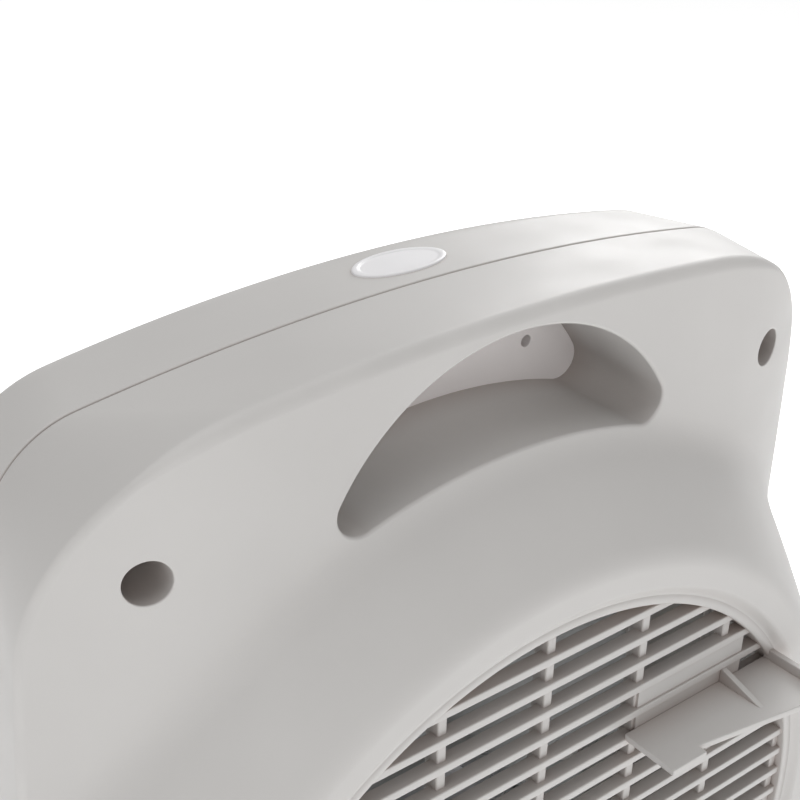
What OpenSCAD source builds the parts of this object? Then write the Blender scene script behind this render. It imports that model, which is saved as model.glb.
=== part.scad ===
// Portable box fan with a turning front louvre, a handle pocket and a round rear grille.
// X is the width, -Y the front, +Y the rear and +Z up. The origin is under the middle of the base.

/* [Body] */
// Width of the body at the height of the fan's axis
body_w = 321; // [316:1:340]
// Height of the highest point of the rear housing
top_z = 425.5; // [420:0.5:440]
// Height of the fan's axis
axis_z = 198; // [197:0.5:200]
// Depth of the rear housing, from its flat rear face to the seam
rear_depth = 41; // [40:0.5:44]
// Depth of the front housing, from the seam to its front face
front_depth = 37; // [36:0.5:40]
// Wall thickness of the housings
wall = 2.5; // [2:0.1:3]
// Height of the feet under the body
foot_h = 12; // [10:0.5:16]

/* [Rear bulge and grille] */
// Radius of the foot of the round bulge on the rear face
bulge_r = 181; // [178:0.5:184]
// Radius of the bulge's flat top
bulge_top_r = 148.8; // [146:0.1:152]
// Height of the bulge over the rear face
bulge_h = 27.4; // [26:0.1:28]
// Radius of the open part of the rear grille
grille_r = 130.5; // [129:0.5:131]
// Distance between two slats of the rear grille
slat_pitch = 10.43; // [10:0.01:11]
// Height of one slat
slat_t = 3.1; // [2.5:0.1:4]
// Distance between two upright bars of the rear grille
bar_pitch = 42.8; // [38:0.1:46]

/* [Handle pocket] */
// Radius of the upper edge of the pocket
pocket_r = 73.4; // [70:0.1:75]
// Height of the middle of that upper edge
pocket_top = 419.4; // [418:0.1:420]
// Radius of the pocket's two ends
pocket_end_r = 5.5; // [5:0.5:8]

/* [Screw holes] */
// Half the distance between the two upper screw holes
screw_x = 120; // [116:1:122]
// Height of the upper screw holes
screw_top_z = 380.5; // [378:0.5:382]
// Height of the lower screw holes
screw_low_z = 40; // [38:1:44]
// Radius of a recessed screw hole
recess_r = 6.6; // [6:0.1:7]

/* [Fan and louvre] */
// Radius of the fan blade at its tips
blade_r = 122; // [112:1:123]
// Number of blades
blade_count = 5; // [3:1:7]
// Radius of the turning front louvre
louvre_r = 127; // [126:0.5:127.5]
// Number of vanes in each half of the louvre
vane_count = 7; // [5:1:9]
// Radius of the rubber roller that turns the louvre
roller_r = 19; // [18.5:0.5:20]

/* [Controls] */
// Radius of the two knobs
knob_r = 15; // [12:0.5:16]
// Distance of each knob from the middle
knob_x = 70; // [60:1:80]
// Height of the row of controls
control_z = 39; // [38.5:0.5:40]

/* [Hidden] */
$fn = 96;

shell_white = [0.78, 0.77, 0.75];
inner_grey = [0.62, 0.62, 0.61];
steel = [0.7, 0.7, 0.72];
copper = [0.72, 0.45, 0.25];
rubber_black = [0.12, 0.12, 0.12];

// The rear face stands here, so that the whole object is centred on Y = 0.
face_y = 21.5;
seam_y = face_y - rear_depth;
front_y = seam_y - front_depth;
base_z = foot_h;
far = 1000;
eps = 0.01;

// Outline of the body: four long arcs with rounded corners.
arch_r = 860;
side_r = 1680;
top_corner_r = 57;
low_corner_r = 34;
front_grow = -2.2;
edge_depth = 9;
edge_in = 6;
edge_steps = 4;
arch_c = [0, top_z - arch_r];
side_c = [body_w / 2 - side_r, axis_z];

// Large rounding of the rear face towards the sides.
roll_x = 91;
roll_r = 120;

// How much the bulge widens for each millimetre towards the front.
bulge_slope = (bulge_r - bulge_top_r) / bulge_h;

// Rear grille.
ring_r = 138;
ring_fit = 0.1;
rim_drop = 2.4;
rim_wall = 3;
ring_y = face_y + bulge_h - rim_drop;
ring_seat_y = ring_y - 5.5;
grille_y = ring_y - 1.5;
slat_depth = 8;
slat_front_y = grille_y - slat_depth;
neck_r = 133.5;
mouth_r = 133.6;
bar_w = 3.6;
half_slats = 13;
hub_plate_r = 46;
blank_x = [-95, -42];
blank_t = 3;

// Handle pocket.
pocket_c = [0, pocket_top - pocket_r];
pocket_floor_r = screw_top_z - axis_z;
pocket_wall = 2.2;
panel_t = 2.2;
panel_hole = [41, screw_top_z + 10];
panel_hole_r = 2.1;

// Screws.
recess_depth = 34;
screw_r = 1.8;
screw_fit_r = 2.2;
head_r = 4;
head_h = 2.6;
boss_r = 5;
motor_screw = [21.2, 2 * slat_pitch];
motor_head_r = 3.4;

// Parts along the fan's axis, measured forwards from the rear face.
shaft_r = 4;
running = 0.05;
stack_y = [face_y - 19, face_y - 1];
stack_r = 36;
rotor_r = 17;
air_gap = 0.35;
bracket_r = 38;
motor_y = [face_y - 31, slat_front_y - 4.5];
bush_r = 7;
blade_y = [face_y - 60, face_y - 34];
blade_t = 2;
blade_pitch = 27;
blade_bend_r = 95;
hub_r = 38.5;
hub_wall = 2.5;
nut_y = [blade_y[0] - 5.5, blade_y[0]];
spider_y = [face_y - 71, face_y - 68];
axle_r = 3;
axle_head_r = 5;
louvre_y = [front_y - 5, spider_y[0] - 0.5];
louvre_open_r = louvre_r + 1.5;
vane_tilt = 38;
vane_t = 2;
vane_w = 9;
spider_r = 134;
spider_screw_r = 131.2;
cap_y = [louvre_y[0] - 3, louvre_y[0]];

// Louvre drive.
drive_gap = 0.3;
drive_angle = 128;
drive_d = louvre_r + roller_r + drive_gap;
drive_x = drive_d * cos(drive_angle);
drive_z = axis_z + drive_d * sin(drive_angle);
roller_y = [front_y + wall + 0.5, spider_y[0] - 1];
drive_motor_y = [face_y - 66, face_y - 52];
drive_motor_r = 17;
drive_post = 27;

// Controls.
plate_size = [212, 36];
plate_t = 1.2;
knob_y = [face_y - 94, front_y - plate_t - 0.8];
spindle_r = 3;
button_r = 8;

// Cord brackets on the rear grille.
bracket_z = axis_z + 71;
bracket_x = [-111, -37];
shelf_t = 2.6;

// Feet.
foot_x = [100, 130];
foot_y = [-62, 68];
pad_r = 8;
pad_y = [-52, 58];
foot_screw_y = [-38, 2];
floor_boss_h = 9;

// Cord inlet.
inlet_x = -100;
inlet_z = 28;
inlet_bore_r = 3.4;

// Oval badge on the top.
badge_size = [17.4, 9];
badge_y = face_y - 57;
badge_t = 0.8;

drive_screw_r = 1.5;
neck_bore_r = spindle_r + 2;
neck_r_out = neck_bore_r - 0.05;

function unit(v) = v / norm(v);
function sum_half(v) = (v[0] + v[1]) / 2;

// The point at distance ra from a and rb from b, on the right-hand side.
function meet(a, ra, b, rb) =
    let (d = norm(b - a), e = (b - a) / d, s = (ra * ra - rb * rb + d * d) / (2 * d),
         h = sqrt(ra * ra - s * s), p = a + s * e, n = [-e[1], e[0]])
    (p + h * n)[0] > (p - h * n)[0] ? p + h * n : p - h * n;

top_corner = meet(arch_c, arch_r - top_corner_r, side_c, side_r - top_corner_r);
low_corner_z = base_z + low_corner_r;
low_corner = [side_c[0] + sqrt(pow(side_r - low_corner_r, 2) - pow(low_corner_z - axis_z, 2)),
    low_corner_z];
pocket_tip = meet(pocket_c, pocket_r - pocket_end_r, [0, axis_z], pocket_floor_r + pocket_end_r);

// Puts a flat shape drawn in X and Z between two depths.
module slab(y0, y1) {
    translate([0, y1, 0]) rotate([90, 0, 0]) linear_extrude(y1 - y0) children();
}

// A round bar along Y.
module rod(r, y0, y1, x = 0, z = axis_z) {
    slab(y0, y1) translate([x, z]) circle(r);
}

module tube(r_out, r_in, y0, y1, x = 0, z = axis_z) {
    slab(y0, y1) translate([x, z]) difference() {
        circle(r_out);
        circle(r_in);
    }
}

module both_sides() {
    children();
    mirror([1, 0, 0]) children();
}

// The corner region outside the two tangent points of a rounding at c.
module corner_wedge(c, d1, d2, reach) {
    polygon([c, c + reach * d1, c + reach * (d1 + d2), c + reach * d2]);
}

module corner_cuts() {
    both_sides() {
        corner_wedge(top_corner, unit(top_corner - arch_c), unit(top_corner - side_c), 90);
        corner_wedge(low_corner, [0, -1], unit(low_corner - side_c), 70);
    }
}

// Front view of the body, grown outwards by g.
module outline(g = 0) {
    $fn = 144;
    difference() {
        intersection() {
            translate(arch_c) circle(arch_r + g);
            translate(side_c) circle(side_r + g);
            translate([-side_c[0], side_c[1]]) circle(side_r + g);
            translate([-body_w, base_z - g]) square([2 * body_w, 2 * top_z]);
        }
        corner_cuts();
    }
    both_sides() {
        translate(top_corner) circle(top_corner_r + g);
        translate(low_corner) circle(low_corner_r + g);
    }
}

// Crescent of the handle pocket, grown outwards by g.
module crescent(g = 0) {
    difference() {
        translate(pocket_c) circle(pocket_r + g);
        translate([0, axis_z]) circle(pocket_floor_r - g, $fn = 180);
        both_sides() corner_wedge(pocket_tip, unit(pocket_tip - pocket_c),
            unit([0, axis_z] - pocket_tip), 60);
    }
    both_sides() translate(pocket_tip) circle(pocket_end_r + g);
}

// Everything in front of the rear surface at y, which bends forwards at the sides.
module rolled(y) {
    linear_extrude(far) {
        translate([-roll_x, y - far]) square([2 * roll_x, far]);
        both_sides() translate([roll_x, y - roll_r]) circle(roll_r);
        translate([-far / 2, y - roll_r - far]) square([far, far]);
    }
}

function bulge_radius(y, inset) =
    bulge_r - bulge_slope * (y - face_y) - inset * sqrt(1 + pow(bulge_slope, 2));

// Solid of the rear housing's outside, or with inset = wall of its inside.
module rear_form(inset) {
    y0 = seam_y - inset;
    y1 = face_y + bulge_h - inset;
    intersection() {
        slab(y0, face_y - inset) outline(-inset);
        rolled(face_y - inset);
    }
    intersection() {
        translate([0, y1, axis_z]) rotate([90, 0, 0]) cylinder(h = y1 - y0, $fn = 180,
            r1 = bulge_radius(y1, inset), r2 = bulge_radius(y0, inset));
        slab(y0, y1) outline(-inset);
    }
}

// Front housing's outside, with its front edge softened in small steps.
module front_outside() {
    for (k = [0 : edge_steps]) slab(front_y + edge_depth * k * k / pow(edge_steps, 2), seam_y)
        outline(front_grow - edge_in * pow(1 - k / edge_steps, 2));
}

module front_inside() {
    slab(front_y + wall, front_y + edge_depth) outline(front_grow - edge_in - wall);
    slab(front_y + edge_depth / 2, seam_y + wall) outline(front_grow - edge_in / 2 - wall);
    slab(front_y + edge_depth, seam_y + wall) outline(front_grow - wall);
}

module at_screws() {
    both_sides() {
        translate([screw_x, 0, screw_top_z]) children();
        translate([screw_x, 0, screw_low_z]) children();
    }
}

module rear_housing() {
    floor_y = face_y - recess_depth;
    color(shell_white) difference() {
        union() {
            difference() {
                rear_form(0);
                rear_form(wall);
            }
            slab(seam_y, face_y - eps) crescent(pocket_wall);
            intersection() {
                at_screws() rod(recess_r + 2, floor_y - wall, face_y, 0, 0);
                rear_form(1);
            }
            tube(ring_r + rim_wall, mouth_r, ring_seat_y - wall, face_y + bulge_h - 1);
            floor_boss(foot_screw_y[1]);
        }
        slab(seam_y - 1, face_y + bulge_h + 1) crescent();
        at_screws() {
            rod(recess_r, floor_y, face_y + 1, 0, 0);
            rod(screw_fit_r, floor_y - wall - 1, floor_y + 1, 0, 0);
        }
        rod(mouth_r, ring_seat_y - wall - 1, face_y + bulge_h + 1);
        rod(ring_r + ring_fit, ring_seat_y, face_y + bulge_h + 1);
        rod(6, face_y - 10, face_y + 1, inlet_x, inlet_z);
        floor_hole(foot_screw_y[1]);
    }
}

// Screw boss on the floor over each foot.
module floor_boss(y) {
    both_sides() translate([sum_half(foot_x), y, base_z]) cylinder(r = boss_r, h = floor_boss_h);
}

module floor_hole(y) {
    both_sides() translate([sum_half(foot_x), y, base_z - 1])
        cylinder(r = screw_r, h = floor_boss_h);
}

// The four screws that hold the motor on the grille's middle plate.
module at_motor_screws() {
    for (sx = [-1, 1], sz = [-1, 1])
        translate([sx * motor_screw[0], 0, axis_z + sz * motor_screw[1]]) children();
}

module rear_grille() {
    first_gap = floor((bracket_z - axis_z) / slat_pitch) + 1;
    color(shell_white) difference() {
        union() {
            tube(ring_r, grille_r, ring_seat_y, ring_y);
            tube(neck_r, grille_r, ring_seat_y - 5, ring_seat_y + eps);
            intersection() {
                union() {
                    for (i = [-half_slats : half_slats - 1])
                        translate([-ring_r, slat_front_y - eps, axis_z + (i + 0.5) * slat_pitch - slat_t / 2])
                            cube([2 * ring_r, slat_depth + 1, slat_t]);
                    for (k = [-3 : 3])
                        translate([k * bar_pitch - bar_w / 2, slat_front_y - eps, axis_z - ring_r])
                            cube([bar_w, slat_depth + 1, 2 * ring_r]);
                    for (s = [-1, 1]) translate([blank_x[0], grille_y - blank_t - 1,
                        axis_z + (s > 0 ? first_gap - 0.5 : -first_gap - 1.5) * slat_pitch])
                        cube([blank_x[1] - blank_x[0], blank_t, 2 * slat_pitch]);
                }
                rod(grille_r + 1, slat_front_y - eps, grille_y);
            }
            rod(hub_plate_r, motor_y[1], slat_front_y);
        }
        at_motor_screws() rod(screw_fit_r, motor_y[1] - 1, slat_front_y + 1, 0, 0);
    }
}

// One shelf that the cord is wound over, with a deeper end, a rib and an end wall.
module cord_shelf() {
    tab_x = -53;
    rib_x = -2 * bar_pitch;
    rib_w = 2.4;
    translate([0, 0, bracket_z - shelf_t]) linear_extrude(shelf_t) polygon([
        [bracket_x[1], grille_y], [bracket_x[1], face_y + 45], [tab_x, face_y + 45],
        [tab_x, face_y + 41.5], [bracket_x[0], face_y + 51], [bracket_x[0], grille_y]]);
    translate([rib_x - rib_w / 2, 0, 0]) rotate([90, 0, 90]) linear_extrude(rib_w) polygon([
        [grille_y, bracket_z - eps], [grille_y, bracket_z + 6], [face_y + 42, bracket_z - eps]]);
    translate([bracket_x[0], 0, 0]) rotate([90, 0, 90]) linear_extrude(rib_w) polygon([
        [grille_y, bracket_z - eps], [grille_y, bracket_z + 4], [face_y + 46, bracket_z + 4],
        [face_y + 50, bracket_z - eps]]);
}

module cord_brackets() {
    color(shell_white) difference() {
        union() {
            cord_shelf();
            translate([0, 0, 2 * axis_z]) mirror([0, 0, 1]) cord_shelf();
        }
        tube(ring_r + rim_wall, grille_r, grille_y - 1, ring_y);
    }
}

module front_housing() {
    color(shell_white) difference() {
        union() {
            difference() {
                front_outside();
                front_inside();
            }
            slab(seam_y - panel_t, seam_y) crescent(pocket_wall);
            both_sides() rod(boss_r, front_y + wall - eps, seam_y - panel_t + eps,
                panel_hole[0], panel_hole[1]);
            tube(spider_r, louvre_open_r, front_y + wall - eps, spider_y[0]);
            at_screws() rod(boss_r, front_y + wall - eps, face_y - recess_depth - wall, 0, 0);
            at_drive_posts() rod(boss_r - 1, front_y + wall - eps, drive_motor_y[0], 0, 0);
            floor_boss(foot_screw_y[0]);
        }
        rod(louvre_open_r, front_y - 1, front_y + wall + 1);
        for (s = [-1, 1])
            rod(neck_bore_r, front_y - 1, front_y + wall + 1, s * knob_x, control_z);
        rod(button_r + 0.6, front_y - 1, front_y + wall + 1, 0, control_z);
        rod(roller_r + 1, front_y + wall, spider_y[0] + 1, drive_x, drive_z);
        both_sides() rod(panel_hole_r, front_y + wall, seam_y + 1, panel_hole[0], panel_hole[1]);
        at_screws() rod(screw_r, front_y + wall, face_y, 0, 0);
        at_drive_posts() rod(drive_screw_r, front_y + wall, face_y, 0, 0);
        at_spider_screws() rod(drive_screw_r, front_y + wall, face_y, 0, 0);
        floor_hole(foot_screw_y[0]);
    }
}

// The two posts that carry the small louvre motor.
module at_drive_posts() {
    translate([drive_x, 0, drive_z]) rotate([0, -drive_angle, 0])
        for (s = [-1, 1]) translate([0, 0, s * drive_post]) children();
}

module at_spider_screws() {
    for (a = [90, 210, 330])
        translate([spider_screw_r * cos(a), 0, axis_z + spider_screw_r * sin(a)]) children();
}

module oval_badge() {
    oval = [for (t = [0 : 7.5 : 352.5]) [badge_size[0] * cos(t), badge_size[1] * sin(t)]];
    color(shell_white) translate([0, badge_y, top_z + front_grow]) linear_extrude(badge_t)
        polygon(oval);
}

module control_plate() {
    color(inner_grey) slab(front_y - plate_t, front_y) translate([0, control_z]) difference() {
        translate(-plate_size / 2) square(plate_size);
        for (s = [-1, 1]) translate([s * knob_x, 0]) circle(neck_bore_r);
        circle(button_r + 0.6);
    }
}

module housing_screws() {
    floor_y = face_y - recess_depth;
    color(steel) at_screws() {
        rod(head_r, floor_y, floor_y + head_h, 0, 0);
        rod(screw_r - 0.02, floor_y - 16, floor_y, 0, 0);
    }
}

module foot_right() {
    color(shell_white) difference() {
        translate([foot_x[0], foot_y[0], base_z / 4])
            cube([foot_x[1] - foot_x[0], foot_y[1] - foot_y[0], base_z * 3 / 4]);
        for (y = pad_y) translate([sum_half(foot_x), y, 0]) cylinder(r = pad_r, h = base_z / 2);
        for (y = foot_screw_y) translate([sum_half(foot_x), y, 0]) {
            cylinder(r = head_r + 0.4, h = base_z / 2);
            cylinder(r = screw_fit_r, h = base_z + 1);
        }
        slab(front_y - 1, seam_y) outline(front_grow);
    }
}

module foot_left() mirror([1, 0, 0]) foot_right();

module foot_screws() {
    color(steel) both_sides() for (y = foot_screw_y) translate([sum_half(foot_x), y, 0]) {
        translate([0, 0, base_z / 2 - head_h]) cylinder(r = head_r, h = head_h);
        translate([0, 0, base_z / 2 - eps]) cylinder(r = screw_r, h = 12);
    }
}

module rubber_pads() {
    color(rubber_black) both_sides() for (y = pad_y)
        translate([sum_half(foot_x), y, 0]) cylinder(r = pad_r, h = base_z / 2);
}

module cord_inlet() {
    color(inner_grey) difference() {
        union() {
            rod(8, face_y, face_y + 5, inlet_x, inlet_z);
            rod(5.9, face_y - 6, face_y + eps, inlet_x, inlet_z);
        }
        rod(inlet_bore_r, face_y - 7, face_y + 6, inlet_x, inlet_z);
    }
}

module motor_stator() {
    color(steel) difference() {
        rod(stack_r, stack_y[0], stack_y[1]);
        rod(rotor_r + air_gap, stack_y[0] - 1, stack_y[1] + 1);
    }
}

module motor_windings() {
    color(copper) {
        tube(32, 20, stack_y[0] - 8, stack_y[0]);
        tube(32, 20, stack_y[1], stack_y[1] + 8);
    }
}

module motor_front_bracket() {
    color(steel) {
        tube(bracket_r, bush_r, motor_y[0], motor_y[0] + 2);
        tube(bracket_r, stack_r, motor_y[0] + 2 - eps, stack_y[0] + 8);
    }
}

module motor_rear_bracket() {
    color(steel) {
        difference() {
            tube(bracket_r, bush_r, motor_y[1] - 2, motor_y[1]);
            at_motor_screws() rod(screw_r, motor_y[1] - 3, motor_y[1] + 1, 0, 0);
        }
        tube(bracket_r, stack_r, stack_y[1] - 8, motor_y[1] - 2 + eps);
    }
}

module motor_front_bush() {
    color([0.75, 0.6, 0.35]) tube(bush_r, shaft_r + running, motor_y[0] - 2, motor_y[0] + 5);
}

module motor_rear_bush() {
    color([0.75, 0.6, 0.35]) tube(bush_r, shaft_r + running, motor_y[1] - 5, motor_y[1] - eps);
}

module motor_screws() {
    color(steel) at_motor_screws() {
        rod(motor_head_r, slat_front_y, slat_front_y + 2, 0, 0);
        rod(screw_r, motor_y[1] - 3, slat_front_y + 1, 0, 0);
    }
}

module motor_rotor() {
    color(steel) tube(rotor_r, shaft_r, stack_y[0], stack_y[1]);
}

module motor_shaft() {
    color(steel) rod(shaft_r, nut_y[0] + 1, motor_y[1] - 1);
}

// One blade: a bent plate that leans along the axis, with a rounded front view.
module blade() {
    intersection() {
        slab(blade_y[0], blade_y[1]) intersection() {
            circle(blade_r);
            translate([blade_r * 0.6, -blade_r * 0.1]) circle(blade_r * 0.58);
            translate([hub_r - 4, -blade_r]) square([blade_r, 2 * blade_r]);
        }
        translate([0, sum_half(blade_y), 0]) rotate([blade_pitch, 0, 0])
            translate([0, blade_bend_r - 2, 0]) rotate([0, 90, 0]) difference() {
                cylinder(r = blade_bend_r, h = blade_r, $fn = 180);
                translate([0, 0, -1]) cylinder(r = blade_bend_r - blade_t, h = blade_r + 2, $fn = 180);
            }
    }
}

module fan_blade() {
    color([0.9, 0.9, 0.9]) difference() {
        union() {
            tube(hub_r, shaft_r, blade_y[0], blade_y[0] + hub_wall);
            tube(hub_r, hub_r - hub_wall, blade_y[0] + hub_wall - eps, blade_y[1]);
            tube(9, shaft_r, blade_y[0] + hub_wall - eps, blade_y[1]);
            translate([0, 0, axis_z]) for (i = [0 : blade_count - 1])
                rotate([0, i * 360 / blade_count, 0]) blade();
        }
        rod(hub_r - hub_wall - 4, blade_y[1] + eps, 0);
    }
}

module spinner_nut() {
    color(inner_grey) difference() {
        rod(9, nut_y[0], nut_y[1]);
        rod(shaft_r, nut_y[0] + 1, nut_y[1] + 1);
    }
}

module louvre_spider() {
    color(inner_grey) difference() {
        union() {
            tube(spider_r, louvre_open_r, spider_y[0], spider_y[1]);
            rod(14, spider_y[0], spider_y[1]);
            for (a = [90, 210, 330]) translate([0, 0, axis_z]) rotate([0, -a, 0])
                translate([10, spider_y[0], -5]) cube([spider_r - 13, 3, 10]);
        }
        rod(axle_r, spider_y[0] - 1, spider_y[1] + 1);
        at_spider_screws() rod(drive_screw_r, spider_y[0] - 1, spider_y[1] + 1, 0, 0);
        rod(roller_r + 1, spider_y[0] - 1, spider_y[1] + 1, drive_x, drive_z);
    }
}

module louvre_axle() {
    color(steel) {
        rod(axle_head_r, louvre_y[0] + 0.4, louvre_y[0] + 1.9);
        rod(axle_r, louvre_y[0] + 1.8, spider_y[1] + eps);
        rod(axle_head_r, spider_y[1], spider_y[1] + 1.5);
    }
}

module spider_screws() {
    color(steel) at_spider_screws() {
        rod(2.6, spider_y[1], spider_y[1] + 1.6, 0, 0);
        rod(drive_screw_r, front_y + wall + 0.5, spider_y[1] + eps, 0, 0);
    }
}

// Rotating louvre: a rim and hub joined by two cross bars, with slanted vanes in each half.
module louvre_disc() {
    vane_step = (louvre_r - 10) / (vane_count + 1);
    color(shell_white) {
        tube(louvre_r, louvre_r - 3, louvre_y[0], louvre_y[1]);
        difference() {
            union() {
                rod(12, louvre_y[0], louvre_y[1]);
                intersection() {
                    rod(louvre_r - 2, louvre_y[0] + 0.5, louvre_y[1] - 0.5);
                    union() {
                        translate([-louvre_r, louvre_y[0] + 1, axis_z - 1.5])
                            cube([2 * louvre_r, 9, 3]);
                        translate([-1.5, louvre_y[0] + 1, axis_z - louvre_r])
                            cube([3, 9, 2 * louvre_r]);
                        for (s = [-1, 1], i = [1 : vane_count])
                            translate([0, sum_half(louvre_y), axis_z + s * i * vane_step])
                                rotate([s * vane_tilt, 0, 0])
                                    translate([-louvre_r, -vane_w / 2, -vane_t / 2])
                                        cube([2 * louvre_r, vane_w, vane_t]);
                    }
                }
            }
            rod(axle_r + running, louvre_y[0] - 1, louvre_y[1] + 1);
            rod(axle_head_r + 0.4, louvre_y[0] - 1, louvre_y[0] + 2.2);
        }
    }
}

module louvre_cap() {
    color(shell_white) rod(16, cap_y[0], cap_y[1]);
}

module roller_motor() {
    color(steel) difference() {
        union() {
            rod(drive_motor_r, drive_motor_y[0], drive_motor_y[1], drive_x, drive_z);
            translate([drive_x, 0, drive_z]) rotate([0, -drive_angle, 0])
                translate([-5, drive_motor_y[0], -drive_post - 5]) cube([10, 1.5, 2 * drive_post + 10]);
        }
        rod(2 + running, drive_motor_y[0] - 1, drive_motor_y[0] + 8, drive_x, drive_z);
        at_drive_posts() rod(drive_screw_r, drive_motor_y[0] - 1, drive_motor_y[0] + 3, 0, 0);
    }
}

module roller_screws() {
    color(steel) at_drive_posts() {
        rod(2.6, drive_motor_y[0] + 1.5, drive_motor_y[0] + 3, 0, 0);
        rod(drive_screw_r, drive_motor_y[0] - 7, drive_motor_y[0] + 1.5 + eps, 0, 0);
    }
}

module roller_shaft() {
    color(steel) rod(2, roller_y[0], drive_motor_y[0] + 7, drive_x, drive_z);
}

module louvre_roller() {
    color(rubber_black) tube(roller_r, 2, roller_y[0], roller_y[1], drive_x, drive_z);
}

// A switch body behind the front wall, with a neck through the wall and a bore for its spindle.
module switch_body(x, w, h, depth) {
    y0 = front_y + wall;
    difference() {
        union() {
            translate([x - w / 2, y0, control_z - h / 2]) cube([w, depth, h]);
            rod(neck_r_out, front_y - plate_t, y0 + 1, x, control_z);
        }
        rod(spindle_r + running, front_y - plate_t - 1, y0 + depth - 4, x, control_z);
    }
}

module spindle(x, depth) {
    rod(spindle_r, knob_y[0] + 3, front_y + wall + depth - 5, x, control_z);
}

module knob(x) {
    difference() {
        union() {
            rod(knob_r, knob_y[1] - 4, knob_y[1], x, control_z);
            rod(knob_r - 3, knob_y[0], knob_y[1] - 4 + eps, x, control_z);
        }
        rod(spindle_r, knob_y[0] + 3, knob_y[1] + 1, x, control_z);
    }
}

module speed_switch() color(inner_grey) switch_body(-knob_x, 34, 30, 22);
module speed_shaft() color(steel) spindle(-knob_x, 22);
module speed_knob() color(shell_white) knob(-knob_x);
module timer_switch() color(inner_grey) switch_body(knob_x, 38, 30, 26);
module timer_shaft() color(steel) spindle(knob_x, 26);
module timer_knob() color(shell_white) knob(knob_x);

module swing_switch() {
    y0 = front_y + wall;
    color(inner_grey) difference() {
        translate([-13, y0, control_z - 13]) cube([26, 20, 26]);
        rod(button_r + 0.5, y0 - 1, y0 + 12, 0, control_z);
    }
}

module swing_button() {
    color(shell_white) rod(button_r, front_y - plate_t - 4.5, front_y + wall + 8, 0, control_z);
}

module run_capacitor() {
    color([0.2, 0.2, 0.22]) translate([18, face_y - 34, base_z + wall]) cube([37, 18, 26]);
}

module terminal_block() {
    color([0.85, 0.82, 0.7]) translate([-60, face_y - 30, base_z + wall]) cube([30, 12, 14]);
}

front_housing();
rear_housing();
rear_grille();
cord_brackets();
oval_badge();
control_plate();
housing_screws();
foot_left();
foot_right();
foot_screws();
rubber_pads();
cord_inlet();
motor_stator();
motor_windings();
motor_front_bracket();
motor_rear_bracket();
motor_front_bush();
motor_rear_bush();
motor_screws();
motor_rotor();
motor_shaft();
fan_blade();
spinner_nut();
louvre_spider();
louvre_axle();
spider_screws();
louvre_disc();
louvre_cap();
roller_motor();
roller_screws();
roller_shaft();
louvre_roller();
speed_switch();
speed_shaft();
speed_knob();
timer_switch();
timer_shaft();
timer_knob();
swing_switch();
swing_button();
run_capacitor();
terminal_block();
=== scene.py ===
"""Looks of a portable box fan, seen from behind: satin shells, round rear grille, front louvre and controls.

Lengths are in millimetres until a mesh is made. X is the width, -Y the front, +Y the rear and +Z up.
"""

import math
from typing import NamedTuple

import bmesh
import bpy
import numpy as np
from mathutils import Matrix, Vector
from mathutils.geometry import delaunay_2d_cdt


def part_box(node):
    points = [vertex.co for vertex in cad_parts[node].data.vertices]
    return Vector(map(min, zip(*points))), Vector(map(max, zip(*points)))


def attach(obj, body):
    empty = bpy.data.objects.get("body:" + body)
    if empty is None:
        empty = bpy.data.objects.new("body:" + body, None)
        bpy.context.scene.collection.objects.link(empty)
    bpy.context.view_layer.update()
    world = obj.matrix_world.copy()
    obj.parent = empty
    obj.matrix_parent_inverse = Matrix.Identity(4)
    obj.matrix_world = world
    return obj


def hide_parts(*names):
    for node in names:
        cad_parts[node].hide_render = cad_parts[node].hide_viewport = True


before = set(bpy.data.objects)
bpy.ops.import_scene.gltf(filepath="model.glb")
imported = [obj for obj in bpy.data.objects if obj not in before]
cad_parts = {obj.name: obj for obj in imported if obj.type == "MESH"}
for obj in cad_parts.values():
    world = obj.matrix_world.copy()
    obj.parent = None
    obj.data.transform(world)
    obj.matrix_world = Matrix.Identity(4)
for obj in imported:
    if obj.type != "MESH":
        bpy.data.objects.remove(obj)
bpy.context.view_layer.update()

MM = 0.001


def node_box(node):
    """Lowest and highest corner of a CAD node, in millimetres."""
    return [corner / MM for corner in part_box(node)]


rear_low, rear_high = node_box("rear_housing")
front_low, front_high = node_box("front_housing")
cap_low, cap_high = node_box("louvre_cap")

AXIS = np.array([0.0, (cap_low.z + cap_high.z) / 2])
HALF_W = rear_high.x
TOP_Z = rear_high.z
BASE_Z = rear_low.z
SEAM_Y = rear_low.y
FRONT_Y = front_low.y


class Outline(NamedTuple):
    """Rear view of the body at one depth: a shallow arch, a round corner and a slightly bowed side."""

    top: float
    arch_r: float
    corner_r: float
    half_w: float
    base: float


REAR = Outline(TOP_Z, 900, 71, HALF_W, BASE_Z)
SEAM = Outline(TOP_Z - 2.7, 786, 35, HALF_W - 1.9, BASE_Z + 1)
FRONT = Outline(TOP_Z - 3.0, 681, 47, HALF_W - 0.4, BASE_Z + 2)
SIDE_R = 1680
LOW_CORNER_R = 34

# Edges of the two shells.
TOP_EDGE_R = 4.4
SIDE_EDGE_R = 2.2
FRONT_EDGE_DEPTH = 9.0
FRONT_EDGE_IN = 5.0

# Soft lips at the seam: distance into the wall, distance from the seam, how far each step faces along Y.
REAR_LIP = ((0, 1.1, -0.07), (0.1, 0.6, -0.6), (0.4, 0.3, -2), (2.4, 0.2, -9))
FRONT_LIP = ((0, -1.1, 0), (0.1, -0.6, 0.5), (0.4, -0.3, 2), (3.0, -0.2, 9))

# Rear face: rolled towards the sides, with a round bulge that carries the grille.
BULGE_H = 27.4
BULGE_R = 181.0
BULGE_TOP_R = 148.8
FACE_Y = rear_high.y - BULGE_H
ROLL_X = 91.0
ROLL_R = 120.0
FOOT_BLEND = 6.5
SHOULDER_BLEND = 4.0
COVE_OUT_R = 138.6
COVE_IN_R = 134.0
COVE_DROP = 2.4

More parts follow.
